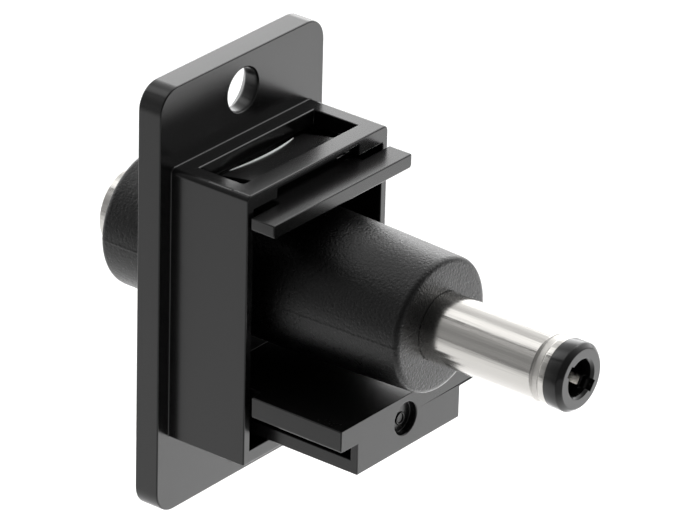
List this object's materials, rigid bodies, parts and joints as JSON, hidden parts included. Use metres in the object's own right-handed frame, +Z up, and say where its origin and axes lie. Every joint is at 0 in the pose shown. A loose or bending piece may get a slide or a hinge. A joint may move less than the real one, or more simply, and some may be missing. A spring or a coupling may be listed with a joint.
{
  "type": "panel mount dc power coupler",
  "caption": "Round DC power coupler with a socket in front and a plug behind, held by a snap-in carrier in a tall screw-mounted panel frame.",
  "frame": {"origin": "middle of the flange's rear face, which seats on the panel, halfway between the fixing holes", "axes": "+Y out of the rear, along the plug; +Z up, towards the latch; +X to the right seen from the front, where the socket opens"},
  "size_m": [0.0196, 0.0441, 0.036],
  "materials": {
    "frame_plastic": "polished black moulding",
    "carrier_plastic": "polished black moulding",
    "body_plastic": "spark-eroded black moulding",
    "nose_plastic": "satin black moulding",
    "nickel": "satin nickel plate on brass",
    "silver_contact": "bright plate on spring brass",
    "tinned_copper": "tinned"
  },
  "bodies": {
    "root": {"mounting_frame": "frame_plastic", "latch_carrier": "carrier_plastic", "coupler_body": "body_plastic", "plug_barrel": "nickel", "plug_tip_insulator": "nose_plastic", "plug_tip_contact": "silver_contact", "plug_rear_bushing": "nose_plastic", "plug_solder_tab": "tinned_copper", "socket_shell": "nickel", "socket_insulator": "nose_plastic", "socket_centre_pin": "nickel", "socket_side_spring": "silver_contact", "socket_solder_tab": "tinned_copper", "centre_link_wire": "tinned_copper", "sleeve_link_strip": "tinned_copper"}
  },
  "joints": []
}
